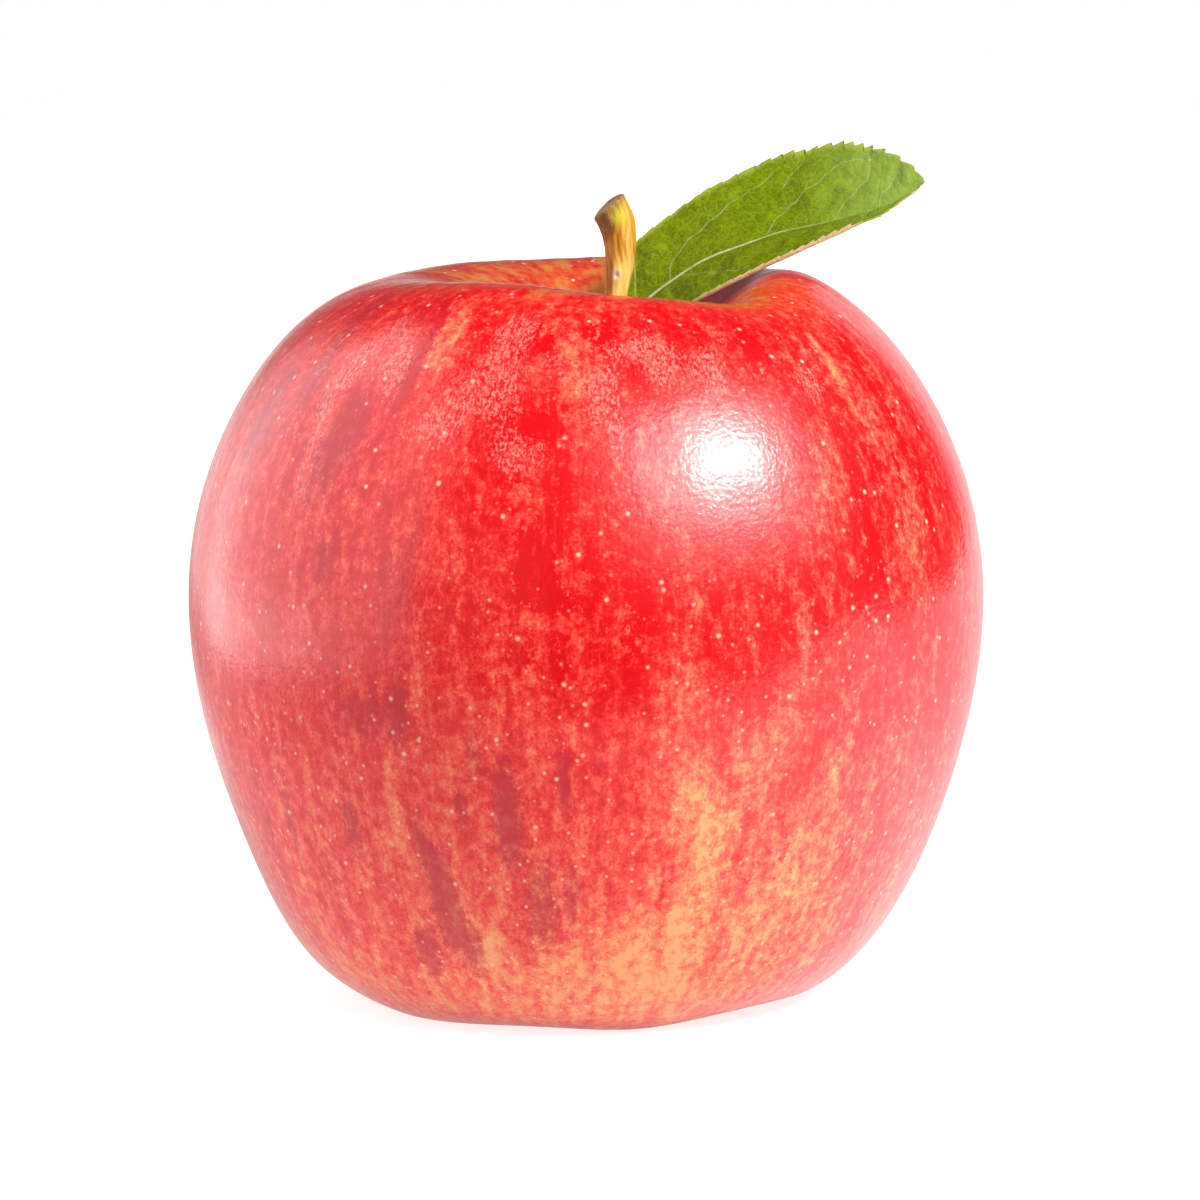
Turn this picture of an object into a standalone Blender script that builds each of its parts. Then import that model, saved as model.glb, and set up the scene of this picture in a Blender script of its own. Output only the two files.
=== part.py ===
"""A ripe red apple standing on the lobes around its dried flower end, with its stem and one leaf.

Metres, +Z up. The origin is on the ground under the fruit, and the stem rises out of the hollow on top.
The nodes are the fruit, the stem, the leaf with its stalk, five dried sepals and the dried stamens.
"""

import math

import bmesh
import bpy
import numpy as np
from mathutils import Matrix, Vector

mm = 0.001

# fruit: half its width, the height its outline is drawn to, and its facets around and along the outline
half_width = 40 * mm
rim_height = 72 * mm
around = 56
along = 44
ground_depth = 10 * mm

# outline from the floor of the stem hollow, over the rim and down to the floor of the flower basin,
# as a cubic B-spline: share of half_width, share of rim_height
outline = (
    (0.000, 0.785), (0.055, 0.787), (0.085, 0.818), (0.140, 0.882), (0.225, 0.948), (0.340, 1.002),
    (0.480, 1.025), (0.628, 0.996), (0.785, 0.924), (0.918, 0.805), (1.000, 0.665), (1.012, 0.525),
    (0.970, 0.385), (0.893, 0.250), (0.795, 0.125), (0.665, 0.030), (0.500, -0.008), (0.355, 0.016),
    (0.230, 0.075), (0.110, 0.112), (0.000, 0.120),
)

# lobes around the rim and the base: azimuth in degrees and how far each stands proud
rim_lobes = ((-150, 0.5 * mm), (-85, 0.2 * mm), (0, 0.9 * mm), (75, 0.7 * mm), (130, 0.5 * mm))
rim_notch = ((-42, 1.1 * mm),)
base_lobes = (
    (-140, 1.15 * mm), (-112, 0.55 * mm), (-76, 1.1 * mm), (-5, 0.9 * mm), (65, 1.1 * mm), (145, 1.1 * mm),
)
rim_spread, notch_spread, base_spread = 28, 16, 22
rim_settle, base_settle = 0.6 * mm, 0.75 * mm
lobe_ring = 18 * mm
rim_ring_width, base_ring_width = 7.5 * mm, 8 * mm

# between the top and the bottom half, and how far each is off the fruit's axis
waist_height, waist_blend = 40 * mm, 3 * mm
hollow_offset, hollow_reach = 2.6 * mm, 21 * mm
base_offset, base_reach = -0.5 * mm, 9 * mm
cheek_height, cheek_reach, cheek_swell = 12 * mm, 14 * mm, 12

# stem: x, y, z and radius in millimetres, from its foot in the hollow to its slanting cut end
stem_points = (
    (2.6, 0.0, 57.5, 1.3), (2.6, 0.0, 60.0, 1.1), (2.75, 0.0, 65.0, 1.0), (3.1, 0.0, 70.0, 1.05),
    (3.4, 0.0, 73.5, 1.25), (3.45, 0.0, 76.3, 1.5), (3.1, 0.0, 78.4, 1.7), (2.2, 0.0, 80.1, 1.8),
)

# leaf: each row holds the controls of a Bezier curve along the blade, from its foot to its tip:
# where the midrib runs, how wide each half is and, in degrees, how steeply it rises to the back
midrib = ((4.4, 3.9, 66.2), (4.3, 4.4, 72.7), (20.5, 5.0, 80.0), (28.0, 5.8, 76.1), (34.4, 6.3, 82.2))
far_width = (0, 9.5, 7.5, 9.5, 9.5, 16, 0)
near_width = (0, 10, 10.5, 10.5, 8.5, 5, 0)
far_rise = (60, 38, 36, 44, 58)
near_rise = (24, 16, 15, 5, 0)
blade_steps, blade_steps_across = 26, 8
blade_thickness = 0.4 * mm
stalk_points = ((3.9, 2.5, 59.9, 0.55), (4.05, 3.0, 63.0, 0.5), (4.3, 3.6, 65.4, 0.5), (4.5, 4.0, 67.4, 0.45))

# dried flower end
sepal_count = 5
sepal_length = 3.7 * mm
sepal_half_width = 1.15 * mm
sepal_curl = 1.5 * mm
sepal_cup = 0.25 * mm
sepal_thickness = 0.35 * mm
sepal_ring = 2.9 * mm
sepal_foot = 7.75 * mm
stamen_radius = 0.9 * mm
stamen_height = 3.0 * mm
stamen_top = 8.1 * mm


def new_collection(name):
    collection = bpy.data.collections.new(name)
    bpy.context.scene.collection.children.link(collection)
    return collection


def new_material(name, colour, roughness):
    material = bpy.data.materials.new(name)
    material.use_nodes = True
    shader = material.node_tree.nodes["Principled BSDF"]
    shader.inputs["Base Color"].default_value = (*colour, 1)
    shader.inputs["Roughness"].default_value = roughness
    shader.inputs["Metallic"].default_value = 0
    return material


def new_object(name, mesh, collection, material=None):
    item = bpy.data.objects.new(name, mesh)
    collection.objects.link(item)
    if material:
        mesh.materials.append(material)
        mesh.shade_smooth()
        mesh.set_sharp_from_angle(angle=math.radians(40))
    return item


def mesh_from(bm, name):
    bmesh.ops.recalc_face_normals(bm, faces=bm.faces)
    mesh = bpy.data.meshes.new(name)
    bm.to_mesh(mesh)
    bm.free()
    return mesh


def b_spline(points, count):
    """Even samples by length along a cubic B-spline that meets the axis squarely at both ends."""
    controls = np.vstack([points[1] * (-1, 1), points, points[-2] * (-1, 1)])
    spans = len(controls) - 3
    place = np.linspace(0, spans, 40 * spans + 1)
    first = np.minimum(place.astype(int), spans - 1)
    t = (place - first)[:, None]
    weights = ((1 - t) ** 3, 3 * t**3 - 6 * t**2 + 4, -3 * t**3 + 3 * t**2 + 3 * t + 1, t**3)
    curve = sum(weight * controls[first + k] for k, weight in enumerate(weights)) / 6
    length = np.concatenate([[0], np.cumsum(np.linalg.norm(np.diff(curve, axis=0), axis=1))])
    even = np.linspace(0, length[-1], count)
    return np.stack([np.interp(even, length, curve[:, k]) for k in (0, 1)], axis=1)


def lobe_height(azimuth, lobes, spread):
    total = 0.0
    for degrees, height in lobes:
        turn = (azimuth - math.radians(degrees) + math.pi) % (2 * math.pi) - math.pi
        total += height * math.exp(-((turn / math.radians(spread)) ** 2))
    return total


def skin_point(azimuth, radius, height):
    """A point of the outline, turned to its azimuth and pushed out by the lobes."""
    upper = 1 / (1 + math.exp((waist_height - height) / waist_blend))
    rim = upper * math.exp(-(((radius - lobe_ring) / rim_ring_width) ** 2))
    base = (1 - upper) * math.exp(-(((radius - lobe_ring) / base_ring_width) ** 2))
    rim_lobe = lobe_height(azimuth, rim_lobes, rim_spread) - lobe_height(azimuth, rim_notch, notch_spread)
    base_lobe = lobe_height(azimuth, base_lobes, base_spread)
    height += rim * (rim_lobe - rim_settle) - base * (base_lobe - base_settle)
    cheek = math.exp(-(((height - cheek_height) / cheek_reach) ** 2))
    radius *= 1 + cheek_swell * cheek * (base_lobe - base_settle)
    shift = hollow_offset * upper * math.exp(-((radius / hollow_reach) ** 4))
    shift += base_offset * (1 - upper) * math.exp(-((height / base_reach) ** 2))
    return Vector((radius * math.cos(azimuth) + shift, radius * math.sin(azimuth), height))


def make_fruit(collection, cutters):
    profile = b_spline(np.array(outline) * (half_width, rim_height), along + 1)
    bm = bmesh.new()
    bmesh.ops.create_uvsphere(bm, u_segments=around, v_segments=along, radius=1)
    for vert in bm.verts:
        step = round(math.acos(max(-1.0, min(1.0, vert.co.z))) / math.pi * along)
        azimuth = math.atan2(vert.co.y, vert.co.x)
        vert.co = skin_point(azimuth, *profile[step])
    skin = new_material("fruit_skin", (0.62, 0.03, 0.03), 0.35)
    fruit = new_object("fruit", mesh_from(bm, "fruit"), collection, skin)

    bm = bmesh.new()
    bmesh.ops.create_cube(bm, size=1)
    bmesh.ops.scale(bm, verts=bm.verts, vec=(3 * half_width, 3 * half_width, ground_depth))
    bmesh.ops.translate(bm, verts=bm.verts, vec=(0, 0, -ground_depth / 2))
    ground = new_object("ground", mesh_from(bm, "ground"), cutters)
    ground.hide_render = True
    ground.display_type = "WIRE"
    flats = fruit.modifiers.new("resting_flats", "BOOLEAN")
    flats.operation = "DIFFERENCE"
    flats.object = ground


def make_tube(name, points, collection, resolution):
    """A round tube through points of x, y, z and radius in millimetres, with closed ends."""
    curve = bpy.data.curves.new(name, "CURVE")
    curve.dimensions = "3D"
    curve.bevel_depth = 1 * mm
    curve.bevel_resolution = resolution
    curve.use_fill_caps = True
    spline = curve.splines.new("POLY")
    spline.points.add(len(points) - 1)
    for point, (x, y, z, radius) in zip(spline.points, points):
        point.co = (x * mm, y * mm, z * mm, 1)
        point.radius = radius
    item = bpy.data.objects.new(name, curve)
    collection.objects.link(item)
    return item


def to_mesh_object(item, collection, material=None):
    """The curve as a mesh with its caps welded on; the curve is removed."""
    bpy.context.view_layer.update()
    evaluated = item.evaluated_get(bpy.context.evaluated_depsgraph_get())
    mesh = bpy.data.meshes.new_from_object(evaluated)
    name = item.name
    curve = item.data
    bpy.data.objects.remove(item)
    bpy.data.curves.remove(curve)
    bm = bmesh.new()
    bm.from_mesh(mesh)
    bmesh.ops.remove_doubles(bm, verts=bm.verts, dist=0.001 * mm)
    bpy.data.meshes.remove(mesh)
    return new_object(name, mesh_from(bm, name), collection, material)


def make_stem(collection):
    bark = new_material("stem_bark", (0.42, 0.23, 0.06), 0.6)
    to_mesh_object(make_tube("stem", stem_points, collection, 3), collection, bark)


def bezier(controls, share):
    """Point and direction at a share of a Bezier curve of any degree."""
    points = [Vector(point) for point in controls]
    while len(points) > 2:
        points = [a.lerp(b, share) for a, b in zip(points, points[1:])]
    return points[0].lerp(points[1], share), (points[1] - points[0]).normalized()


def bezier_value(controls, share):
    point, _ = bezier([(value, 0) for value in controls], share)
    return point.x


def blade_point(share, side):
    """Share runs from foot to tip, side from -1 at the near margin to 1 at the far one."""
    centre, direction = bezier(midrib, share)
    back = Vector((0, 1, 0))
    up = direction.cross(back).normalized()
    angle = math.radians(bezier_value(far_rise if side > 0 else near_rise, share))
    reach = side * bezier_value(far_width if side > 0 else near_width, share)
    return (centre + (back * math.cos(angle) + up * math.sin(angle)) * reach) * mm


def make_leaf(collection, cutters):
    green = new_material("leaf_blade", (0.19, 0.27, 0.01), 0.5)
    bm = bmesh.new()
    bmesh.ops.create_grid(bm, x_segments=blade_steps, y_segments=blade_steps_across, size=1)
    for vert in bm.verts:
        vert.co = blade_point(0.02 + 0.975 * (vert.co.x + 1) / 2, vert.co.y)
    leaf = new_object("leaf", mesh_from(bm, "leaf"), collection, green)
    wall = leaf.modifiers.new("thickness", "SOLIDIFY")
    wall.thickness = blade_thickness
    wall.offset = 0
    wall.use_even_offset = True

    stalk = to_mesh_object(make_tube("leaf_stalk", stalk_points, cutters, 2), cutters)
    stalk.hide_render = True
    stalk.display_type = "WIRE"
    joined = leaf.modifiers.new("stalk", "BOOLEAN")
    joined.operation = "UNION"
    joined.object = stalk


def make_sepal(number, collection, material):
    """A pointed, cupped scale that curls from the ring at the basin's floor in towards the axis."""
    turn = 2 * math.pi * number / sepal_count
    bm = bmesh.new()
    bmesh.ops.create_grid(bm, x_segments=4, y_segments=6, size=1)
    for vert in bm.verts:
        share = (vert.co.y + 1) / 2
        across = vert.co.x * sepal_half_width * (1 - 0.85 * share**2)
        inward = sepal_curl * math.sin(share * math.pi / 2) ** 2 + sepal_cup * vert.co.x**2
        drop = sepal_length * share
        vert.co = Vector((sepal_ring - inward, across, sepal_foot - drop))
    bmesh.ops.rotate(bm, verts=bm.verts, matrix=Matrix.Rotation(turn, 3, "Z"))
    bmesh.ops.translate(bm, verts=bm.verts, vec=(base_offset, 0, 0))
    name = f"sepal_{number + 1}"
    sepal = new_object(name, mesh_from(bm, name), collection, material)
    wall = sepal.modifiers.new("thickness", "SOLIDIFY")
    wall.thickness = sepal_thickness
    wall.offset = 0


def make_flower_end(collection):
    dried = new_material("dried_sepal", (0.16, 0.09, 0.04), 0.85)
    for number in range(sepal_count):
        make_sepal(number, collection, dried)
    tuft = new_material("dried_stamen", (0.07, 0.04, 0.02), 0.9)
    bm = bmesh.new()
    bmesh.ops.create_cone(
        bm, cap_ends=True, segments=12, radius1=0.3 * stamen_radius, radius2=stamen_radius, depth=stamen_height
    )
    bmesh.ops.translate(bm, verts=bm.verts, vec=(base_offset, 0, stamen_top - stamen_height / 2))
    new_object("dried_stamens", mesh_from(bm, "dried_stamens"), collection, tuft)


def main():
    for item in list(bpy.data.objects):
        bpy.data.objects.remove(item)
    apple = new_collection("red_apple")
    cutters = new_collection("cutters")
    make_fruit(apple, cutters)
    make_stem(apple)
    make_leaf(apple, cutters)
    make_flower_end(apple)


main()
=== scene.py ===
import math

import bmesh
import bpy
import numpy as np
from mathutils import Matrix, Vector, noise


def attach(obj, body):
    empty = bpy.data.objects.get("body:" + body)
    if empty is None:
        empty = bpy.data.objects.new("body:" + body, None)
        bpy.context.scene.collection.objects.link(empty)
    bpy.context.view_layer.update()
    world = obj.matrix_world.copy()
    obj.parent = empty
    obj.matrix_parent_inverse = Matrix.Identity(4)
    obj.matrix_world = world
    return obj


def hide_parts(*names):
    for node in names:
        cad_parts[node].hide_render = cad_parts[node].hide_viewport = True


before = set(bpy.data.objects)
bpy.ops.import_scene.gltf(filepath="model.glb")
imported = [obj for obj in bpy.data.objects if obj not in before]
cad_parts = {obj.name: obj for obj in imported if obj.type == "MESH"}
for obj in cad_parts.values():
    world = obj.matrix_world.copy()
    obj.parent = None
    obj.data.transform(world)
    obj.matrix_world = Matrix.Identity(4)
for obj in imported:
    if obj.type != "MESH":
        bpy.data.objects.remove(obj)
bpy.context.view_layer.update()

mm = 0.001
seeded = np.random.default_rng(11)
scene = bpy.context.scene
scene.view_settings.view_transform = "Standard"


# short ways to make and join material nodes
def newMaterial(name):
    material = bpy.data.materials.new(name)
    material.use_nodes = True
    return material, material.node_tree, material.node_tree.nodes["Principled BSDF"]


def addNode(tree, kind, settings=None, **sockets):
    made = tree.nodes.new("ShaderNode" + kind)
    for key, value in (settings or {}).items():
        setattr(made, key, value)
    for key, value in sockets.items():
        feed(made.inputs[key.replace("_", " ")], value)
    return made


def feed(socket, value):
    if isinstance(value, bpy.types.NodeSocket):
        socket.id_data.links.new(value, socket)
    else:
        socket.default_value = value


def millimetres(tree):
    place = addNode(tree, "TexCoord").outputs["Object"]
    return addNode(tree, "VectorMath", {"operation": "SCALE"}, Vector=place, Scale=1000.0).outputs[0]


def painted(tree, name, output="Fac"):
    return addNode(tree, "Attribute", {"attribute_name": name}).outputs[output]


def stretched(vector, scale):
    return addNode(vector.id_data, "Mapping", Vector=vector, Scale=scale).outputs[0]


def grain(vector, scale, detail=3.0, roughness=0.55, distortion=0.0):
    made = addNode(vector.id_data, "TexNoise", Vector=vector, Scale=scale, Detail=detail)
    made.inputs["Roughness"].default_value = roughness
    made.inputs["Distortion"].default_value = distortion
    return made.outputs["Fac"]


def cells(vector, scale, feature="F1"):
    made = addNode(vector.id_data, "TexVoronoi", {"feature": feature}, Vector=vector, Scale=scale)
    return made.outputs["Distance"]


def fade(value, low, high, first=0.0, last=1.0):
    made = addNode(value.id_data, "MapRange", {"interpolation_type": "SMOOTHSTEP"}, Value=value)
    for key, number in (("From Min", low), ("From Max", high), ("To Min", first), ("To Max", last)):
        made.inputs[key].default_value = number
    return made.outputs["Result"]


def calc(operation, first, second=0.0, third=0.0):
    values = (first, second, third)
    tree = next(value.id_data for value in values if isinstance(value, bpy.types.NodeSocket))
    made = addNode(tree, "Math", {"operation": operation})
    for socket, value in zip(made.inputs, values):
        feed(socket, value)
    return made.outputs[0]


def product(first, second):
    return calc("MULTIPLY", first, second)


def opposite(value):
    return calc("SUBTRACT", 1.0, value)


def centred(value):
    return calc("SUBTRACT", value, 0.5)


def addUp(base, *parts):
    total = base
    for value, weight in parts:
        total = calc("MULTIPLY_ADD", value, weight, total)
    return total


def addSwings(base, *parts):
    # noise added so that it swings both ways
    return addUp(base, *((centred(value), weight) for value, weight in parts))


def mixed(factor, first, second, mode="MIX"):
    made = addNode(first.id_data, "Mix", {"data_type": "RGBA", "blend_type": mode})
    feed(made.inputs[0], factor)
    for socket, value in ((made.inputs[6], first), (made.inputs[7], second)):
        feed(socket, value if isinstance(value, bpy.types.NodeSocket) else (*value, 1.0))
    return made.outputs[2]


def coloured(value, stops):
    made = addNode(value.id_data, "ValToRGB", Fac=value)
    elements = made.color_ramp.elements
    while len(elements) < len(stops):
        elements.new(0.5)
    for element, (place, colour) in zip(elements, stops):
        element.position = place
        element.color = (*colour, 1.0)
    return made.outputs["Color"]


def raised(height, distance, strength=0.9):
    made = addNode(height.id_data, "Bump", Height=height, Distance=distance, Strength=strength)
    return made.outputs["Normal"]


def dress(shader, sockets):
    for name, value in sockets.items():
        feed(shader.inputs[name], value)


# short ways to make, move and paint a mesh
def placed(name, data):
    item = bpy.data.objects.new(name, data)
    scene.collection.objects.link(item)
    return item


def finished(bm, name, material=None):
    mesh = bpy.data.meshes.new(name)
    bm.to_mesh(mesh)
    bm.free()
    mesh.shade_smooth()
    if material:
        mesh.materials.append(material)
    return placed(name, mesh)


def movePoints(mesh, points):
    mesh.vertices.foreach_set("co", points.astype(np.float32).ravel())
    mesh.update()


def paint(mesh, name, values):
    kind, key = ("FLOAT_VECTOR", "vector") if values.ndim == 2 else ("FLOAT", "value")
    layer = mesh.attributes.new(name, kind, "POINT")
    layer.data.foreach_set(key, values.astype(np.float32).ravel())


def sphereSteps(bm):
    # how far down each point of a unit sphere lies, 0 at the top and 1 at the foot, and its azimuth
    points = np.array([vert.co for vert in bm.verts])
    polar = np.arccos(np.clip(points[:, 2], -1, 1)) / math.pi
    return polar, np.arctan2(points[:, 1], points[:, 0])


def facingOut(bm):
    bmesh.ops.recalc_face_normals(bm, faces=bm.faces)


def thicken(piece, thickness):
    wall = piece.modifiers.new("thickness", "SOLIDIFY")
    wall.thickness = thickness
    wall.offset = 0
    return wall


def turned(radius, azimuth, height):
    # points at a radius and azimuth from the upright axis
    return np.stack([radius * np.cos(azimuth), radius * np.sin(azimuth), height], axis=1)


def bezier(controls, share):
    # points and directions at shares along a Bezier curve of any degree
    share = np.asarray(share, float)[:, None]
    points = [np.array(control, float) + 0 * share for control in controls]
    while len(points) > 2:
        points = [a + (b - a) * share for a, b in zip(points, points[1:])]
    run = points[1] - points[0]
    return points[0] + run * share, run / np.maximum(np.linalg.norm(run, axis=1), 1e-9)[:, None]


def bezierValue(controls, share):
    return bezier([(value,) for value in controls], share)[0][:, 0]


def bSpline(points, count):
    # even samples by length along a cubic B-spline that meets the axis squarely at both ends
    controls = np.vstack([points[1] * (-1, 1), points, points[-2] * (-1, 1)])
    spans = len(controls) - 3
    place = np.linspace(0, spans, 60 * spans + 1)
    first = np.minimum(place.astype(int), spans - 1)
    t = (place - first)[:, None]
    weights = ((1 - t) ** 3, 3 * t**3 - 6 * t**2 + 4, -3 * t**3 + 3 * t**2 + 3 * t + 1, t**3)
    curve = sum(weight * controls[first + k] for k, weight in enumerate(weights)) / 6
    length = np.concatenate([[0], np.cumsum(np.linalg.norm(np.diff(curve, axis=0), axis=1))])
    even = np.linspace(0, length[-1], count)
    return np.stack([np.interp(even, length, curve[:, k]) for k in (0, 1)], axis=1), length[-1]


def smoothBetween(values, low, high):
    t = np.clip((values - low) / (high - low), 0, 1)
    return t * t * (3 - 2 * t)


def softNoise(points, scale, offset=0.0):
    shift = Vector((offset, offset * 0.7, -offset))
    return np.array([noise.noise(Vector(point) * scale + shift) for point in points])


fruit = {
    "halfWidth": 40 * mm,
    "rimHeight": 72 * mm,
    "around": 384,
    "along": 252,
    # from the floor of the stem hollow, over the rim and down to the floor of the flower basin
    "outline": (
        (0, 0.785), (0.055, 0.787), (0.085, 0.818), (0.14, 0.882), (0.225, 0.948), (0.34, 1.002),
        (0.48, 1.025), (0.628, 0.996), (0.785, 0.924), (0.918, 0.805), (1, 0.665), (1.012, 0.525),
        (0.97, 0.385), (0.893, 0.25), (0.795, 0.125), (0.665, 0.03), (0.5, -0.008), (0.355, 0.016),
        (0.23, 0.075), (0.11, 0.112), (0, 0.12),
    ),
    # azimuth in degrees and millimetres proud
    "rimLobes": ((-150, 0.5), (-116, 1.15), (0, 0.9), (75, 0.7), (130, 0.5)),
    "rimNotch": ((-42, 1.1),),
    "baseLobes": ((-140, 1.15), (-112, 0.55), (-76, 1.1), (-5, 0.9), (65, 1.1), (145, 1.1)),
    "rimSpread": 28,
    "notchSpread": 20,
    "baseSpread": 22,
    "rimSettle": 0.6 * mm,
    "baseSettle": 0.75 * mm,
    "lobeRing": 18 * mm,
    "rimRingWidth": 7.5 * mm,
    "baseRingWidth": 8 * mm,
    "waistHeight": 40 * mm,
    "waistBlend": 3 * mm,
    "hollowOffset": 2.6 * mm,
    "hollowReach": 21 * mm,
    "baseOffset": -0.5 * mm,
    "baseReach": 9 * mm,
    "cheekHeight": 12 * mm,
    "cheekReach": 14 * mm,
    "cheekSwell": 12,
    "dimple": 0.05 * mm,
    "spillAzimuth": 5,
    "spillSpread": 50,
}

# places on the skin: azimuth in degrees, height in mm, half width in degrees, half height in mm, strength
deepPatches = (
    (-99, 69.5, 3, 1.6, 0.9), (-87, 70, 4, 2, 0.8), (-80, 66.5, 3, 2.4, 0.7), (-66, 69, 3, 2, 0.7),
    (-56, 68, 3.4, 3, 0.9), (-108, 66, 2.4, 2.4, 0.7), (-113, 66, 2, 3, 0.6), (-104, 62, 3.4, 2.2, 0.9),
    (-98, 61.5, 4, 2.4, 1.0), (-94, 64, 2, 3, 0.5), (-93.5, 56, 1.8, 4.5, 0.8), (-101, 57, 3, 1.6, 0.7),
    (-99, 52.5, 5, 2.2, 0.45), (-90, 52, 4, 3, 0.35), (-97, 48, 3.4, 3.4, 1.2),
    (-94, 45.4, 3, 1.4, 0.9), (-103, 45, 2.4, 3, 0.45), (-89, 44, 3, 4, 0.5), (-82.5, 45, 2, 3.6, 1.0),
    (-93.5, 40, 1.4, 3.4, 0.9), (-84, 41, 2.2, 2.4, 0.7), (-99, 40, 3, 2, 0.7), (-88, 48, 3, 2, 0.35),
    (-65, 36, 3.4, 3.6, 0.8), (-72, 44, 2.6, 4, 0.5), (-62, 46, 3.4, 3, 0.5), (-56, 43, 2.4, 4, 0.6),
    (-45, 49, 2.2, 5, 0.9), (-44, 44.5, 3, 3, 1.0), (-41, 42, 4, 1.5, 0.7), (-49, 45, 2, 2.6, 0.7),
    (-29, 51, 1.8, 7, 0.85), (-22, 60, 2, 9, 0.8), (-30, 63, 2, 5, 0.6), (-34, 55, 1.5, 6, 0.6),
    (-26, 45, 2.2, 3, 0.8), (-40, 57, 2, 3, 0.6), (-46, 56, 2, 3, 0.6), (-30, 68, 4, 2, 0.6),
    (-50, 37, 2, 3, 0.6), (-55, 36, 1.5, 4, 0.5), (-78, 16, 1.1, 2.4, 0.8), (-58, 18, 1, 2, 0.6),
    (-82.5, 28, 1.1, 3, 0.7), (-45, 36, 2, 2.4, 0.5), (-115, 57, 2, 3, 0.4), (-12, 40, 2, 9, 0.6),
    (-8, 60, 3, 7, 0.7),
)
darkPatches = (
    (-101.5, 24, 2.3, 6, 1.0), (-97, 15, 2.8, 5, 0.7), (-93, 27.5, 1.4, 3.4, 0.7),
    (-92, 16, 1.5, 4, 0.6), (-106, 30, 1.6, 3, 0.6), (-108.5, 25, 1.2, 3, 0.5),
    (-113.5, 15, 2.6, 6, 0.8), (-116, 21, 1.6, 3, 0.6), (-110, 10, 2.4, 4, 0.6),
    (-128, 22, 2.2, 4, 0.6), (-123, 33.5, 6, 3, 0.5), (-117, 34, 1.8, 5, 0.6), (-118, 46, 3, 5, 0.45),
    (-115, 52, 1.6, 4, 0.4), (-130, 48, 2, 3, 0.5), (-131, 61, 3.4, 4, 0.6), (-134, 56, 3, 4, 0.4),
    (-142, 22, 1.6, 8, 0.5), (-150, 20, 2.4, 8, 0.4), (-123, 66.5, 2.2, 3.4, 0.8),
    (-140, 62, 12, 8, 0.34), (-124, 55, 7, 9, 0.22), (-156, 56, 6, 9, 0.3), (-128, 71, 10, 3, 0.4),
    (-150, 71, 10, 3, 0.4), (-119, 9, 3, 4, 0.6), (-88, 30, 1, 2, 0.5), (-136, 15, 3, 8, 0.35),
    (-146, 66, 3, 5, 0.4), (-155, 62, 3, 5, 0.4),
)
strawPatches = (
    (-72, 13, 4.5, 9, 0.55), (-70, 22, 4, 6, 0.35), (-60, 11, 6, 6, 0.34), (-82, 9, 6, 5, 0.4),
    (-50, 21, 6, 9, 0.2), (-68, 17, 16, 12, 0.16), (-86, 9, 14, 5, 0.2), (-100, 9, 12, 3, 0.2),
    (-46, 10, 9, 6, 0.25), (-107, 10.5, 2.6, 3, 0.45), (-112, 15, 1.3, 5, 0.3), (-120, 24, 1.5, 7, 0.3),
    (-114, 38, 1.3, 4, 0.35), (-110, 28, 2.4, 5, 0.2), (-97, 20, 2, 3, 0.25), (-104, 17, 1.4, 3, 0.25),
    (-75, 27, 5, 6, 0.36), (-66, 29, 4, 4, 0.24), (-60, 31, 4, 5, 0.2), (-50, 31, 4, 6, 0.2),
    (-42, 24, 6, 8, 0.1), (-119, 69, 3.6, 3.4, 0.46), (-92, 67, 3, 3.6, 0.4), (-90, 62, 2, 2, 0.3),
    (-40, 66, 3, 3, 0.4), (-36, 50, 4, 5, 0.22), (-37, 60, 3, 3, 0.25), (-51, 55, 3, 4, 0.25),
    (-75, 38, 5, 4, 0.15), (-100, 35, 5, 3, 0.14), (-118, 18, 3, 5, 0.12), (-85, 4, 40, 4, 0.4),
    (95, 24, 34, 20, 0.6), (150, 8, 30, 9, 0.4), (30, 10, 40, 10, 0.45), (-150, 4, 30, 5, 0.3),
)
lacePatches = (
    (-106, 65.5, 7, 4.4, 1.0), (-87, 65, 5, 4, 0.9), (-95, 67, 4, 2.4, 0.6), (-76, 67.5, 5, 3, 1.0),
    (-67, 66.5, 4, 3, 0.9), (-100, 59, 6, 2.8, 0.8), (-114, 62, 4, 4, 0.8), (-126, 66, 3, 4, 0.8),
    (-132, 68, 6, 4, 0.8), (-139, 64, 4, 5, 0.8), (-147, 67, 4, 4, 0.7), (-155, 64, 3, 4, 0.6),
    (-137, 56, 3, 5, 0.8), (-144, 56, 1.5, 4, 0.6), (-85, 60.5, 1.4, 3, 0.9), (-47, 65, 3, 2.4, 0.9),
    (-56, 66, 5, 2, 0.6), (-62, 69.5, 3, 2, 0.6), (-36, 62, 4, 2, 0.6), (-112, 51, 3, 2, 0.6),
    (-104, 70.5, 6, 1.6, 0.7), (-120, 60, 3, 4, 0.6), (-82, 69, 4, 1.6, 0.6), (-77, 51, 4, 1.4, 0.4),
    (60, 62, 20, 6, 0.6), (150, 64, 24, 6, 0.7),
)

# with each list, how many like it are strewn over the side that is left, and between which values
allPatches = (
    ("deep", deepPatches, 70, (0, 195), (8, 69), (1.4, 4), (2, 7), (0.5, 1)),
    ("dark", darkPatches, 20, (0, 195), (8, 50), (1.2, 3), (3, 7), (0.4, 0.8)),
    ("straw", strawPatches, 20, (0, 195), (6, 60), (2, 6), (3, 7), (0.15, 0.4)),
    ("lace", lacePatches, 24, (0, 195), (52, 70), (3, 7), (2, 5), (0.5, 1)),
)


def degreesFrom(azimuth, degrees):
    return (np.degrees(azimuth) - degrees + 180) % 360 - 180


def lobeHeight(azimuth, lobes, spread):
    total = 0 * azimuth
    for degrees, height in lobes:
        total += height * mm * np.exp(-((degreesFrom(azimuth, degrees) / spread) ** 2))
    return total


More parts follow.
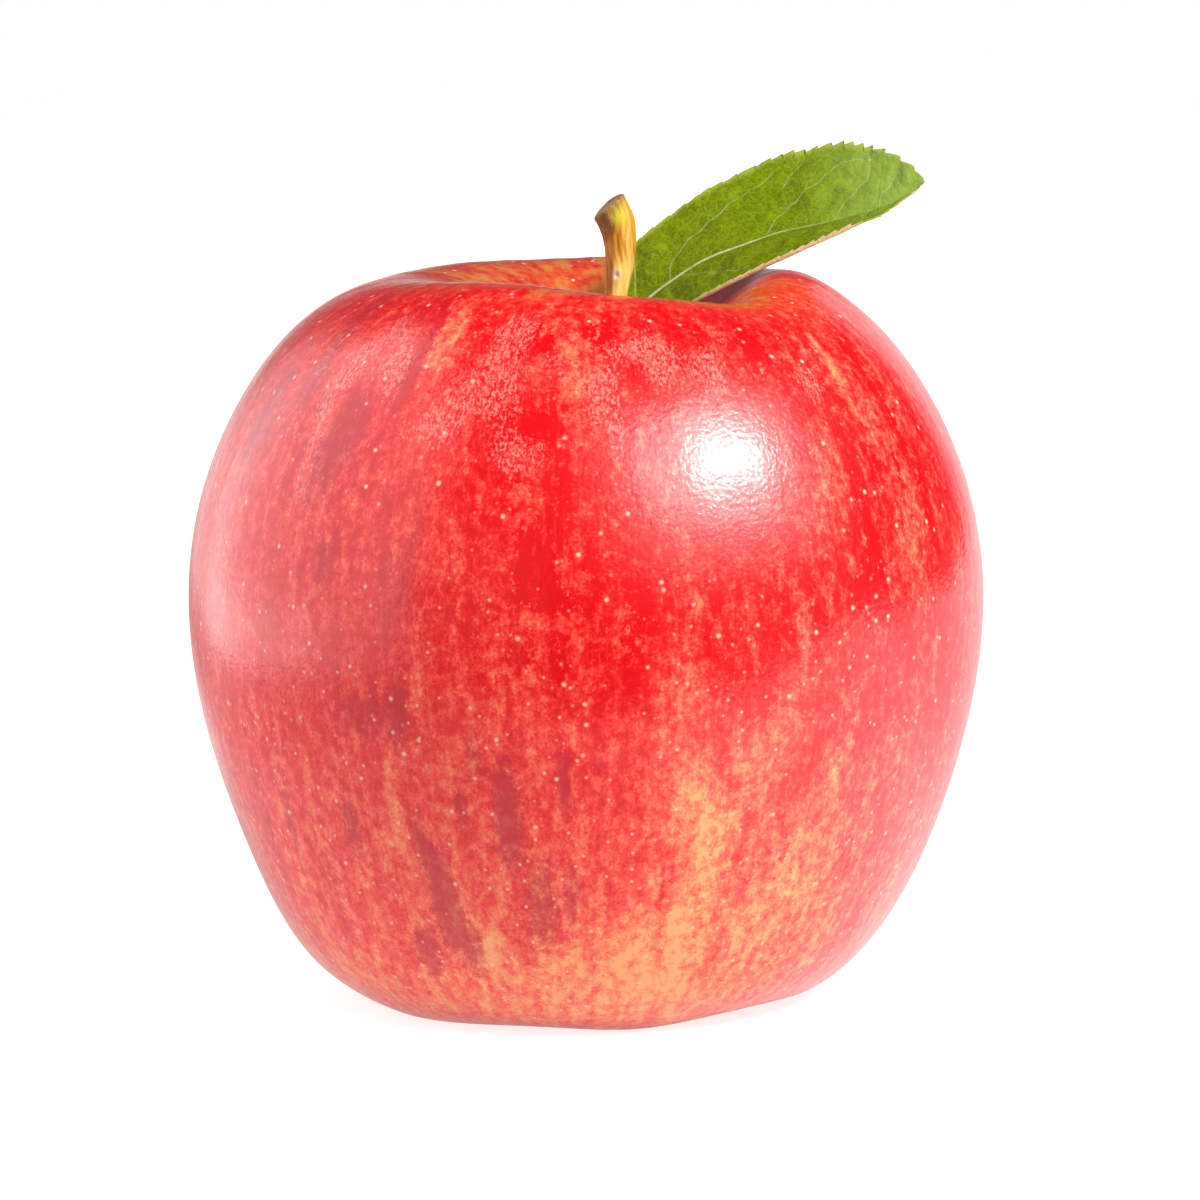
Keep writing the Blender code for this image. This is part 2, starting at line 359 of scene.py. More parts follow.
def skinPoints(azimuth, radius, height):
    # the outline turned to each azimuth and pushed out by the lobes
    f = fruit
    upper = 1 / (1 + np.exp((f["waistHeight"] - height) / f["waistBlend"]))
    rim = upper * np.exp(-(((radius - f["lobeRing"]) / f["rimRingWidth"]) ** 2))
    base = (1 - upper) * np.exp(-(((radius - f["lobeRing"]) / f["baseRingWidth"]) ** 2))
    rimLobe = lobeHeight(azimuth, f["rimLobes"], f["rimSpread"])
    rimLobe = rimLobe - lobeHeight(azimuth, f["rimNotch"], f["notchSpread"])
    baseLobe = lobeHeight(azimuth, f["baseLobes"], f["baseSpread"])
    height = height + rim * (rimLobe - f["rimSettle"]) - base * (baseLobe - f["baseSettle"])
    cheek = np.exp(-(((height - f["cheekHeight"]) / f["cheekReach"]) ** 2))
    radius = radius * (1 + f["cheekSwell"] * cheek * (baseLobe - f["baseSettle"]))
    shift = f["hollowOffset"] * upper * np.exp(-((radius / f["hollowReach"]) ** 4))
    shift = shift + f["baseOffset"] * (1 - upper) * np.exp(-((height / f["baseReach"]) ** 2))
    return turned(radius, azimuth, height) + np.stack([shift, 0 * shift, 0 * shift], axis=1)


def patchwork(azimuth, height, patches):
    # soft patches added together over the skin
    total = 0 * height
    for degrees, level, halfWidth, halfHeight, strength in patches:
        turn = degreesFrom(azimuth, degrees)
        off = (turn / halfWidth) ** 2 + ((height / mm - level) / halfHeight) ** 2
        total += strength * np.exp(-(off**1.5))
    return total


def strewn(count, spans):
    return [tuple(seeded.uniform(*span) for span in spans) for _ in range(count)]


def makeFruit():
    f = fruit
    profile, length = bSpline(np.array(f["outline"]) * (f["halfWidth"], f["rimHeight"]), f["along"] + 1)
    bm = bmesh.new()
    bmesh.ops.create_uvsphere(bm, u_segments=f["around"], v_segments=f["along"], radius=1)
    polar, azimuth = sphereSteps(bm)
    piece = finished(bm, "fruitSkin")
    mesh = piece.data
    step = np.rint(polar * f["along"]).astype(int)
    points = skinPoints(azimuth, *profile[step].T)

    growth = turned(f["halfWidth"] / mm, azimuth, polar * length / mm)
    outside = smoothBetween(polar, 0.12, 0.2) * (1 - smoothBetween(polar, 0.85, 0.9))
    dimples = softNoise(growth * (1, 1, 0.5), 0.16) + 0.5 * softNoise(growth * (1, 1, 0.5), 0.4, 7.0)
    away = points / np.linalg.norm(points, axis=1)[:, None]
    points += away * (dimples * outside * f["dimple"])[:, None]
    points[:, 2] = np.maximum(points[:, 2], 0)
    movePoints(mesh, points)

    height = points[:, 2]
    paint(mesh, "growth", growth)
    paint(mesh, "share", polar)
    # on the right the red runs down into the hollow
    paint(mesh, "spill", np.exp(-((degreesFrom(azimuth, f["spillAzimuth"]) / f["spillSpread"]) ** 2)))
    for name, chosen, count, *spans in allPatches:
        cover = patchwork(azimuth, height, list(chosen) + strewn(count, spans))
        paint(mesh, name, np.clip(cover * outside, 0, 1.2))
    mesh.materials.append(appleSkin())
    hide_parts("fruit")
    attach(piece, "root")
    print("fruit", len(mesh.polygons))


skin = {
    # pigment from straw ground to the deepest red, and how much of it there is
    "pigment": (
        (0.04, (0.94, 0.37, 0.145)), (0.25, (0.93, 0.215, 0.092)), (0.45, (0.92, 0.110, 0.064)),
        (0.62, (0.87, 0.046, 0.036)), (0.80, (0.80, 0.011, 0.013)), (1.0, (0.70, 0.001, 0.005)),
    ),
    "redAbove": 0.765,
    "redBelow": 0.58,
    "strawPull": 0.70,
    "deepPush": 0.34,
    "dark": (0.50, 0.007, 0.024),
    "darkCover": 0.72,
    "hollow": (
        (0.30, (0.56, 0.23, 0.05)), (0.46, (0.66, 0.18, 0.045)),
        (0.60, (0.66, 0.08, 0.03)), (0.8, (0.55, 0.018, 0.012)),
    ),
    "olive": ((0.3, (0.20, 0.15, 0.03)), (0.7, (0.42, 0.32, 0.08))),
    "basin": ((0.35, (0.62, 0.44, 0.10)), (0.6, (0.66, 0.26, 0.08)), (0.85, (0.50, 0.05, 0.03))),
    "basinFloor": (0.20, 0.12, 0.04),
    "bloom": (0.92, 0.36, 0.29),
    "bloomCover": 0.58,
    "hair": (0.90, 0.42, 0.26),
    # cells per millimetre, and colours, of the corky dots
    "largeDots": 0.40,
    "smallDots": 0.66,
    "dotHalo": (0.86, 0.22, 0.14),
    "largeDot": (0.93, 0.60, 0.42),
    "smallDot": (0.94, 0.55, 0.42),
    "relief": 0.035 * mm,
    "waxRelief": 0.05 * mm,
    "gloss": 0.36,
    "waxRoughness": 0.14,
}


def appleSkin():
    s = skin
    material, tree, shader = newMaterial("appleSkin")
    place = millimetres(tree)
    growth = painted(tree, "growth", "Vector")
    share = painted(tree, "share")

    # streaks follow the growth from stem to flower end, the finer grain lies evenly
    streaks = grain(stretched(growth, (1, 1, 0.13)), 0.62, 4, 0.6)
    hairs = grain(stretched(growth, (1, 1, 0.06)), 2.6, 2, 0.5)
    broad = grain(stretched(growth, (1, 1, 0.45)), 0.13, 3, 0.5)
    blots = grain(stretched(growth, (1, 1, 0.6)), 0.42, 4, 0.6, 0.6)
    fuzz = grain(stretched(place, (1, 1, 0.8)), 1.05, 5, 0.64)
    specks = grain(place, 3.6, 3, 0.6)
    ragged = addSwings(0, (blots, 1.0), (fuzz, 1.5), (specks, 0.7), (streaks, 0.5))

    # how much red pigment there is, from straw ground to deepest red
    red = fade(share, 0.50, 0.72, s["redAbove"], s["redBelow"])
    base = calc("SUBTRACT", red, product(painted(tree, "straw"), s["strawPull"]))
    pigment = addSwings(base, (streaks, 0.85), (broad, 0.3), (blots, 0.7))
    deepArea = fade(calc("ADD", painted(tree, "deep"), ragged), 0.40, 0.80)
    calm = opposite(product(deepArea, 0.2))
    mottle = addSwings(0, (fuzz, 1.5), (specks, 0.85))
    pigment = addUp(pigment, (mottle, calm), (deepArea, s["deepPush"]))
    colour = coloured(pigment, s["pigment"])
    darkArea = fade(addUp(painted(tree, "dark"), (ragged, 0.6)), 0.10, 0.75)
    colour = mixed(product(darkArea, s["darkCover"]), colour, s["dark"])

    # hollow: orange and straw with red patches, olive and russet close to the stem
    flecks = grain(stretched(growth, (1, 1, 0.5)), 0.24, 5, 0.66, 0.4)
    inward = addUp(share, (centred(flecks), 0.10), (painted(tree, "spill"), 0.12))
    inHollow = fade(inward, 0.165, 0.235, 1, 0)
    patches = grain(place, 0.34, 4, 0.6)
    flush = addSwings(0.5, (flecks, 0.9), (patches, 1.0), (fuzz, 0.8))
    flush = calc("ADD", flush, fade(share, 0.10, 0.21, -0.06, 0.14))
    colour = mixed(inHollow, colour, coloured(flush, s["hollow"]))
    russet = fade(addUp(share, (blots, 0.05), (specks, 0.02)), 0.08, 0.145, 1, 0)
    colour = mixed(russet, colour, coloured(specks, s["olive"]))

    # flower basin: greenish straw with dull red streaks, brown at its floor
    inBasin = fade(addUp(share, (streaks, -0.06)), 0.83, 0.89)
    colour = mixed(inBasin, colour, coloured(flush, s["basin"]))
    floorBrown = fade(addUp(share, (specks, 0.02)), 0.965, 0.99)
    colour = mixed(floorBrown, colour, s["basinFloor"])

    # fluffy pale bloom that gathers in patches on the shoulders
    fluff = grain(stretched(growth, (1, 1, 0.72)), 2.6, 6, 0.8, 0.3)
    laceArea = fade(addSwings(painted(tree, "lace"), (blots, 1.2)), 0.1, 0.95)
    fluffCut = addUp(0.60, (laceArea, -0.14))
    bloom = fade(calc("SUBTRACT", fluff, fluffCut), 0.0, 0.13)
    bloom = product(bloom, addUp(0.05, (laceArea, s["bloomCover"])))
    colour = mixed(bloom, colour, s["bloom"])
    hairLine = product(fade(hairs, 0.60, 0.72), 0.04)
    colour = mixed(hairLine, colour, s["hair"])

    # corky dots: large and creamy above, small and crowded below
    lower = fade(share, 0.42, 0.56)
    large = cells(place, s["largeDots"])
    small = cells(place, s["smallDots"])
    largeDot = product(fade(large, 0.035, 0.125, 1, 0), addUp(0.85, (lower, -0.15)))
    largeHalo = product(fade(large, 0.06, 0.2, 1, 0), 0.16)
    smallDot = product(fade(small, 0.04, 0.165, 1, 0), addUp(0.25, (lower, 0.45)))
    colour = mixed(largeHalo, colour, s["dotHalo"])
    colour = mixed(largeDot, colour, s["largeDot"])
    colour = mixed(smallDot, colour, s["smallDot"])

    relief = addUp(0, (fuzz, 0.5), (hairs, 0.15), (specks, 0.25), (largeDot, 0.5))
    ripple = grain(place, 2.0, 1, 0.5)
    waxRelief = addUp(0, (fuzz, 0.55), (ripple, 1.0), (hairs, 0.12), (streaks, 0.4), (specks, 0.2))
    dress(shader, {
        "Base Color": colour,
        "Normal": raised(relief, s["relief"]),
        "Roughness": addUp(s["gloss"], (centred(fuzz), 0.15), (russet, 0.3), (largeDot, 0.15)),
        "Specular IOR Level": 0.28,
        "Coat Weight": 0.8,
        "Coat Normal": raised(waxRelief, s["waxRelief"]),
        "Coat Roughness": s["waxRoughness"],
        "Coat IOR": 1.46,
    })
    return material


stem = {
    # x, y, z and radius in mm, from the foot in the hollow to the slanting cut end
    "points": (
        (2.6, 0.0, 57.5, 1.3), (2.55, 0.0, 60.0, 1.1), (2.6, 0.0, 65.0, 0.98), (2.8, 0.0, 69.0, 1.0),
        (3.05, 0.0, 71.3, 1.12), (3.4, 0.0, 74.0, 1.42), (3.5, 0.0, 76.4, 1.6), (3.15, 0.0, 78.6, 1.84),
        (2.4, 0.0, 80.0, 1.95),
    ),
    "around": 72,
    "along": 190,
    "cutShare": 0.07,
    "footShare": 0.03,
    "cutTilt": 41,
    "tiltReach": 3.2,
    "capHeight": 0.55,
    "ridges": 15,
    "ridgeDepth": 0.042,
    # azimuth in degrees and height in mm of marks on the bark
    "scar": (-98, 73.2),
    "creamPatch": (-92, 72.6),
    "greenTipAzimuth": -74,
}


def makeStem():
    s = stem
    bm = bmesh.new()
    bmesh.ops.create_uvsphere(bm, u_segments=s["around"], v_segments=s["along"], radius=1)
    polar, around = sphereSteps(bm)
    facingOut(bm)
    piece = finished(bm, "stemBark")
    mesh = piece.data
    share = 1 - polar
    cut, foot = s["cutShare"], s["footShare"]
    path = np.clip((share - foot) / (1 - cut - foot), 0, 1)
    lid = np.clip((1 - share) / cut, 0, 1) * np.clip(share / foot, 0, 1)

    # a smooth path through the points, by length
    controls = np.array(s["points"])
    run = np.concatenate([[0], np.cumsum(np.linalg.norm(np.diff(controls[:, :3], axis=0), axis=1))])
    steps = np.linspace(0, run[-1], 400)
    dense = np.stack([np.interp(steps, run, controls[:, k]) for k in range(4)], axis=1)
    window = np.hanning(61) / np.hanning(61).sum()
    padded = np.pad(dense, ((30, 30), (0, 0)), "reflect", reflect_type="odd")
    dense = np.stack([np.convolve(padded[:, k], window, "valid") for k in range(4)], axis=1)
    where = path * run[-1]
    x, y, z, radius = (np.interp(where, steps, dense[:, k]) for k in range(4))
    slope = np.gradient(dense[:, 0], steps)
    lean = np.arcsin(np.clip(np.interp(where, steps, slope), -1, 1))
    toEnd = smoothBetween(where, run[-1] - s["tiltReach"], run[-1])
    lean = lean * (1 - toEnd) - math.radians(s["cutTilt"]) * toEnd

    # ridges that wander as they climb, knots and a scar
    wander = around + 0.35 * np.sin(where * 0.42) + 0.12 * np.sin(where * 1.3 + 2)
    ridge = np.abs(np.sin(wander * s["ridges"] / 2)) - 0.6 + 0.35 * np.sin(wander * 5 + where * 0.25)
    rough = softNoise(turned(2, around, where * 0.5), 1.3)
    radius = radius * (1 + s["ridgeDepth"] * ridge + 0.05 * rough)
    scarTurn, scarHeight = s["scar"]
    turn = np.degrees(around) - scarTurn
    off = (turn / 24) ** 2 + ((z - scarHeight) / 0.75) ** 2
    radius += 0.16 * np.exp(-off) - 0.22 * np.exp(-off * 6)
    reach = radius * np.sin(lid * math.pi / 2)
    cap = s["capHeight"] * np.cos(lid * math.pi / 2) * (share > 0.5)
    sag = 0.09 * rough * (1 - lid) - cap
    acrossX, alongX = np.cos(lean), np.sin(lean)
    points = np.stack([
        x + reach * np.cos(around) * acrossX - sag * alongX,
        y + reach * np.sin(around),
        z - reach * np.cos(around) * alongX - sag * acrossX,
    ], axis=1)
    movePoints(mesh, points * mm)

    paint(mesh, "barkPlace", turned(1.5, around, where))
    # the left side painted brown: partly the bark's own tone, partly painted shade on the side away from
    # the lamp
    paint(mesh, "brown", smoothBetween(-np.cos(around), 0.05, 0.65))
    paint(mesh, "head", smoothBetween(where - 1.9 * np.cos(around), run[-1] - 3.4, run[-1] - 0.4))
    paint(mesh, "ridge", np.clip(ridge + 0.5, 0, 1))
    creamTurn, creamHeight = s["creamPatch"]
    inFront = smoothBetween(np.cos(around - math.radians(creamTurn)), 0.2, 0.9)
    paint(mesh, "cream", np.exp(-(((z - creamHeight) / 2.6) ** 2)) * inFront)
    paint(mesh, "cutFace", (1 - smoothBetween(lid, 0.55, 0.85)) * (share > 0.5))
    paint(mesh, "scar", np.exp(-off * 1.6))
    inFront = smoothBetween(np.cos(around - math.radians(s["greenTipAzimuth"])), 0.86, 0.98)
    paint(mesh, "greenTip", np.exp(-(((where - run[-1] + 1.2) / 0.8) ** 2)) * inFront)
    paint(mesh, "climb", where / run[-1])
    mesh.materials.append(stemBark())
    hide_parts("stem")
    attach(piece, "root")
    print("stem", len(mesh.polygons))


bark = {
    # the ochre right side, the brown left side, the pale patch low in front, and the mottled head; the
    # lighter right and browner left are partly the bark's own tones and partly painted light and painted
    # shade from the lamp on the right
    "ochre": (
        (0.30, (0.32, 0.12, 0.010)), (0.44, (0.50, 0.22, 0.018)),
        (0.58, (0.66, 0.33, 0.035)), (0.78, (0.86, 0.54, 0.16)),
    ),
    "brown": (
        (0.30, (0.28, 0.100, 0.016)), (0.5, (0.46, 0.175, 0.026)),
        (0.7, (0.58, 0.25, 0.042)), (0.9, (0.70, 0.40, 0.12)),
    ),
    "cream": ((0.3, (0.76, 0.38, 0.03)), (0.48, (0.88, 0.54, 0.09)), (0.66, (0.95, 0.70, 0.22))),
    "head": (
        (0.32, (0.105, 0.045, 0.013)), (0.5, (0.19, 0.088, 0.024)),
        (0.62, (0.29, 0.15, 0.045)), (0.74, (0.55, 0.40, 0.22)),
    ),
    "cutFace": ((0.3, (0.13, 0.075, 0.035)), (0.55, (0.30, 0.18, 0.075)), (0.75, (0.44, 0.30, 0.14))),
    "greenTip": (0.62, 0.56, 0.03),
    "scar": (0.66, 0.60, 0.55),
    "relief": 0.10 * mm,
    "gloss": 0.38,
}


def stemBark():
    b = bark
    material, tree, shader = newMaterial("stemBark")
    place = painted(tree, "barkPlace", "Vector")
    ridge = painted(tree, "ridge")
    fibre = grain(stretched(place, (1, 1, 0.09)), 5.0, 4, 0.62)
    fine = grain(stretched(place, (1, 1, 0.3)), 7.0, 3, 0.6)
    light = addUp(0.09, (ridge, 0.26), (fibre, 0.66))
    ochre, brown, cream = (coloured(light, b[name]) for name in ("ochre", "brown", "cream"))
    # brown over the left side, partly painted shade
    brownArea = fade(addSwings(painted(tree, "brown"), (fibre, 0.9)), 0.25, 0.8)
    colour = mixed(fade(painted(tree, "cream"), 0.1, 0.8), ochre, cream)
    colour = mixed(brownArea, colour, brown)
    headLook = coloured(grain(place, 3.2, 4, 0.7), b["head"])
    headArea = fade(addSwings(painted(tree, "head"), (fibre, 0.7)), 0.25, 0.75)
    colour = mixed(product(headArea, 0.85), colour, headLook)
    colour = mixed(product(painted(tree, "greenTip"), 0.85), colour, b["greenTip"])
    cutLook = coloured(grain(millimetres(tree), 1.8, 4, 0.7), b["cutFace"])
    colour = mixed(painted(tree, "cutFace"), colour, cutLook)
    colour = mixed(product(painted(tree, "scar"), 0.75), colour, b["scar"])

    # painted shade: darker down in the hollow
    shade = fade(painted(tree, "climb"), 0.05, 0.42, 0.56, 1.04)
    shade = addNode(tree, "CombineColor", Red=shade, Green=shade, Blue=shade).outputs[0]
    colour = mixed(1.0, colour, shade, "MULTIPLY")
    dress(shader, {
        "Base Color": colour,
        "Normal": raised(addUp(0, (fibre, 1.0), (fine, 0.5)), b["relief"]),
        "Roughness": addUp(b["gloss"], (brownArea, 0.2)),
        "Specular IOR Level": 0.4,
    })
    return material


leaf = {
    # rows of Bezier controls along the blade, from its foot to its tip; lengths in mm, rises in degrees
    "midrib": (
        (4.4, 3.9, 66.2), (4.3, 4.4, 72.7), (20.5, 5.0, 80.0), (28.0, 5.8, 76.1), (34.4, 6.3, 82.2),
    ),
    "farWidth": (0, 11.9, -2.5, 18.0, 7.4, 13.6, 0),
    "nearWidth": (0, 6.8, 7.2, 7.4, 5.5, 2.2, 0),
    "tipHold": 0.7,
    "holdFrom": 0.72,
    "farRise": (78, 48, 36, 44, 58),
    "nearRise": (40, 32, 28, 14, 4),
    "footShare": 0.02,
    "tipShare": 0.995,
    "length": 35.6,
    "along": 330,
    "across": 120,
    "teeth": 29,
    "toothDepth": 0.5,
    "lip": 0.74,
    "lipBend": 0.3,
    "bulge": 0.16,
    "thickness": 0.17,
    # each vein starts on the midrib: share along the blade, share across it
    "veins": (
        ((0.12, 0.0), (0.134, 0.2), (0.165, 0.5), (0.19, 0.72), (0.215, 0.95)),
        (
            (0.235, 0.0), (0.257, 0.23), (0.31, 0.43), (0.37, 0.51),
            (0.41, 0.6), (0.455, 0.67), (0.51, 0.71), (0.56, 0.82),
        ),
        (
            (0.5, 0.0), (0.54, 0.22), (0.583, 0.33), (0.617, 0.43),
            (0.68, 0.56), (0.72, 0.67), (0.765, 0.74), (0.845, 0.78),
        ),
        ((0.575, 0.6), (0.6, 0.7), (0.645, 0.9)),
        (
            (0.688, 0.0), (0.727, 0.19), (0.762, 0.29), (0.812, 0.45),
            (0.828, 0.58), (0.838, 0.74), (0.84, 0.9),
        ),
        ((0.83, 0.0), (0.84, 0.14), (0.872, 0.27), (0.905, 0.45)),
        ((0.265, 0.0), (0.288, -0.13), (0.342, -0.37), (0.4, -0.6), (0.44, -0.7)),
    ),
    "faintVeins": (
        ((0.15, 0.0), (0.2, -0.3), (0.25, -0.7)),
        ((0.4, 0.0), (0.45, -0.3), (0.52, -0.62), (0.58, -0.9)),
        ((0.56, 0.0), (0.63, -0.35), (0.70, -0.75)),
        ((0.7, 0.0), (0.76, -0.4), (0.82, -0.8)),
        ((0.34, 0.0), (0.4, 0.2), (0.46, 0.3), (0.53, 0.36), (0.6, 0.52)),
        ((0.62, 0.0), (0.66, 0.14), (0.7, 0.3)),
    ),
    "midribWidth": 0.25,
    "veinWidth": 0.115,
    "veinPale": 0.68,
    "faintWidth": 0.12,
    "faintPale": 0.46,
    # x, y, z and radius in mm
    "stalk": (
        (3.9, 2.5, 59.9, 0.55), (4.05, 3.0, 63.0, 0.5), (4.3, 3.6, 65.4, 0.5), (4.5, 4.05, 67.6, 0.4),
    ),
}


def distanceTo(points, line):
    # how far each flat point lies from a chain of straight runs
    best = np.full(len(points), 1e9)
    for start, end in zip(line, line[1:]):
        run = end - start
        share = np.clip(((points - start) @ run) / max(run @ run, 1e-9), 0, 1)
        best = np.minimum(best, np.linalg.norm(points - start - share[:, None] * run, axis=1))
    return best


def bladeWidth(share, side):
    far, near = bezierValue(leaf["farWidth"], share), bezierValue(leaf["nearWidth"], share)
    return np.where(side > 0, far, near)


def bladePoints(share, side, lift):
    # side runs from -1 at the near margin to 1 at the far one; lift is off the blade's own surface
    b = leaf
    centre, direction = bezier(b["midrib"], share)
    # close to the tip the rows across the blade turn less than the midrib does
    steady = bezier(b["midrib"], share - b["tipHold"] * np.clip(share - b["holdFrom"], 0, 1))[1]
    back = np.array([0.0, 1.0, 0.0])
    up = np.cross(steady, back)
    up /= np.linalg.norm(up, axis=1)[:, None]
    # the two halves meet in a rounded trough
    farAngle, nearAngle = bezierValue(b["farRise"], share), bezierValue(b["nearRise"], share)
    width = bladeWidth(share, side)
    reach = side * width
    blend = smoothBetween(reach, -0.7, 0.7)
    angle = np.radians(nearAngle + (farAngle - nearAngle) * blend)

    # teeth that lean to the tip, deeper towards it
    teeth = share * b["teeth"] + 0.22 * np.sin(share * 31)
    saw = (teeth % 1.0) ** 1.4
    size = b["toothDepth"] * (0.35 + 0.7 * smoothBetween(share, 0.35, 0.8))
    size = size * smoothBetween(share, 0.03, 0.12)
    size = size * (1 - 0.3 * smoothBetween(share, 0.86, 0.94)) * np.where(side > 0, 1, 0.55)
    size = size * (1 - smoothBetween(share, 0.965, 0.995))
    margin = smoothBetween(np.abs(side), np.where(side > 0, 0.86, 0.95), 1.0)
    reach = reach + np.sign(side) * margin * size * (saw - 0.55)
    lean = margin * size * 0.5 * saw

    # the near margin curls up into a narrow lip
    curl = smoothBetween(share, 0.10, 0.3) * (1 - smoothBetween(share, 0.70, 0.86)) * (side < 0)
    past = np.clip(np.abs(reach) - (width - b["lip"]), 0, None) * curl
    bend = past / b["lipBend"]
    inward = past - b["lipBend"] * np.sin(bend)
    rise = b["lipBend"] * (1 - np.cos(bend))
    outward = back * np.cos(angle)[:, None] + up * np.sin(angle)[:, None]
    normal = up * np.cos(angle)[:, None] - back * np.sin(angle)[:, None]
    reach = reach - np.sign(side) * inward
    return centre + outward * reach[:, None] + normal * (lift + rise)[:, None] + direction * lean[:, None]


def makeLeaf():
    b = leaf
    bm = bmesh.new()
    bmesh.ops.create_grid(bm, x_segments=b["along"], y_segments=b["across"], size=1)
    flat = np.array([vert.co for vert in bm.verts])
    top, under = leafTop(), leafUnder()
    piece = finished(bm, "leafBlade")
    mesh = piece.data
    share = b["footShare"] + (b["tipShare"] - b["footShare"]) * (flat[:, 0] + 1) / 2
    side = flat[:, 1]
    width = bladeWidth(share, side)
    flatPlace = np.stack([share * b["length"], side * width], axis=1)

    # veins: a line for each, drawn on the blade in millimetres and a little wavy
    midribAway = np.abs(flatPlace[:, 1] + 0.10 * np.sin(flatPlace[:, 0] * 0.9))
    veinAway, faintAway = np.full((2, len(share)), 1e9)
    for line in b["veins"] + b["faintVeins"]:
        faint = line in b["faintVeins"]
        line = np.array(line)
        dense = np.linspace(0, 1, 26)
        known = np.linspace(0, 1, len(line))
        shares, sides = (np.interp(dense, known, line[:, k]) for k in (0, 1))
        lineWidth = bladeWidth(shares, sides + np.sign(line[-1, 1]) * 1e-6)
        route = np.stack([shares * b["length"], sides * lineWidth], axis=1)
        route[:, 1] += 0.10 * np.sin(route[:, 0] * 3.1 + line[0, 0] * 40) * np.clip(dense * 4, 0, 1)
        away = distanceTo(flatPlace, route)
        faintAway = np.minimum(faintAway, away)
        if not faint:
            veinAway = np.minimum(veinAway, away)
    midribWidth = b["midribWidth"] * (1 - 0.65 * share)
    midribPale = 1 - 0.36 * smoothBetween(share, 0.42, 0.66)
    vein = midribPale * np.exp(-((midribAway / midribWidth) ** 2))
    vein = np.maximum(vein, b["veinPale"] * np.exp(-((veinAway / b["veinWidth"]) ** 2)))
    vein = np.maximum(vein, b["faintPale"] * np.exp(-((faintAway / b["faintWidth"]) ** 2)))
    nearest = np.minimum(faintAway, midribAway * 0.9)
    bulge = b["bulge"] * (1 - np.exp(-((nearest / 0.8) ** 2)))
    flatPlace = np.column_stack([flatPlace, 0 * share])
    waves = 0.30 * softNoise(flatPlace, 0.55) + 0.07 * softNoise(flatPlace, 1.6, 3.0)
    waves = waves * smoothBetween(np.abs(side), 0, 0.3)
    marginWave = 0.14 * np.sin(share * 34 + 1) * smoothBetween(share, 0.2, 0.5)
    marginWave = marginWave * smoothBetween(np.abs(side), 0.55, 1.0) * (side > 0)
    calm = 1 - 0.85 * smoothBetween(-side, 0.4, 0.95)
    lift = (bulge + waves) * calm + marginWave
    movePoints(mesh, bladePoints(share, side, lift) * mm)

    paint(mesh, "vein", vein)
    paint(mesh, "bladePlace", flatPlace)
    paint(mesh, "nearTip", share)
    paint(mesh, "edge", smoothBetween(np.abs(side), 0.90, 1.0))
    paint(mesh, "nearHalf", smoothBetween(-side, -0.05, 0.25))
    paint(mesh, "spot", np.exp(-(((share - 0.253) / 0.011) ** 2) - ((side - 0.83) / 0.035) ** 2))
    mesh.materials.append(top)
    mesh.materials.append(under)
    wall = thicken(piece, b["thickness"] * mm)
    wall.material_offset = 1
    wall.material_offset_rim = 0
    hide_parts("leaf")
    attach(piece, "root")

    stalk = makeRod("leafStalk", np.array(b["stalk"]), 20, 40)
    stalk.data.materials.append(leafStalk())
    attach(stalk, "root")
    print("leaf", len(mesh.polygons))


def makeRod(name, rows, around, along):
    # a closed round rod along rows of x, y, z and radius in mm
    bm = bmesh.new()
    bmesh.ops.create_uvsphere(bm, u_segments=around, v_segments=along, radius=1)
    polar, turn = sphereSteps(bm)
    facingOut(bm)
    piece = finished(bm, name)
    rounded = 0.06
    path = np.clip((1 - polar - rounded) / (1 - 2 * rounded), 0, 1)
    lid = np.sin(np.clip(np.minimum(polar, 1 - polar) / rounded, 0, 1) * math.pi / 2)
    controls = rows[:, :3]
    centre, direction = bezier(controls, path)
    radius = bezierValue(rows[:, 3], path) * lid
    sideways = np.cross(direction, (0.0, 1.0, 0.2))
    sideways /= np.linalg.norm(sideways, axis=1)[:, None]
    other = np.cross(direction, sideways)
    ring = sideways * np.cos(turn)[:, None] + other * np.sin(turn)[:, None]
    movePoints(piece.data, (centre + ring * radius[:, None]) * mm)
    return piece


blade = {
    "green": (
        (0.36, (0.062, 0.088, 0.001)), (0.50, (0.115, 0.160, 0.001)),
        (0.64, (0.180, 0.250, 0.002)), (0.8, (0.29, 0.39, 0.012)),
    ),
    "nearTip": (0.30, 0.45, 0.09),
    "nearHalf": (0.10, 0.13, 0.004),
    "network": (0.26, 0.35, 0.01),
    "vein": (0.58, 0.58, 0.34),
    "edge": (0.42, 0.46, 0.06),
    "spot": (0.22, 0.12, 0.02),
    # cells per millimetre between the veins, coarse and fine
    "coarseCells": 1.15,
    "fineCells": 2.6,
    "relief": 0.05 * mm,
    "felt": ((0.3, (0.36, 0.26, 0.09)), (0.55, (0.50, 0.36, 0.15)), (0.75, (0.62, 0.48, 0.24))),
    "underNetwork": (0.66, 0.62, 0.42),
    "underVein": (0.70, 0.66, 0.44),
    "underRelief": 0.12 * mm,
    "stalk": ((0.35, (0.30, 0.26, 0.05)), (0.6, (0.46, 0.40, 0.12)), (0.8, (0.55, 0.38, 0.18))),
    "stalkRelief": 0.06 * mm,
}


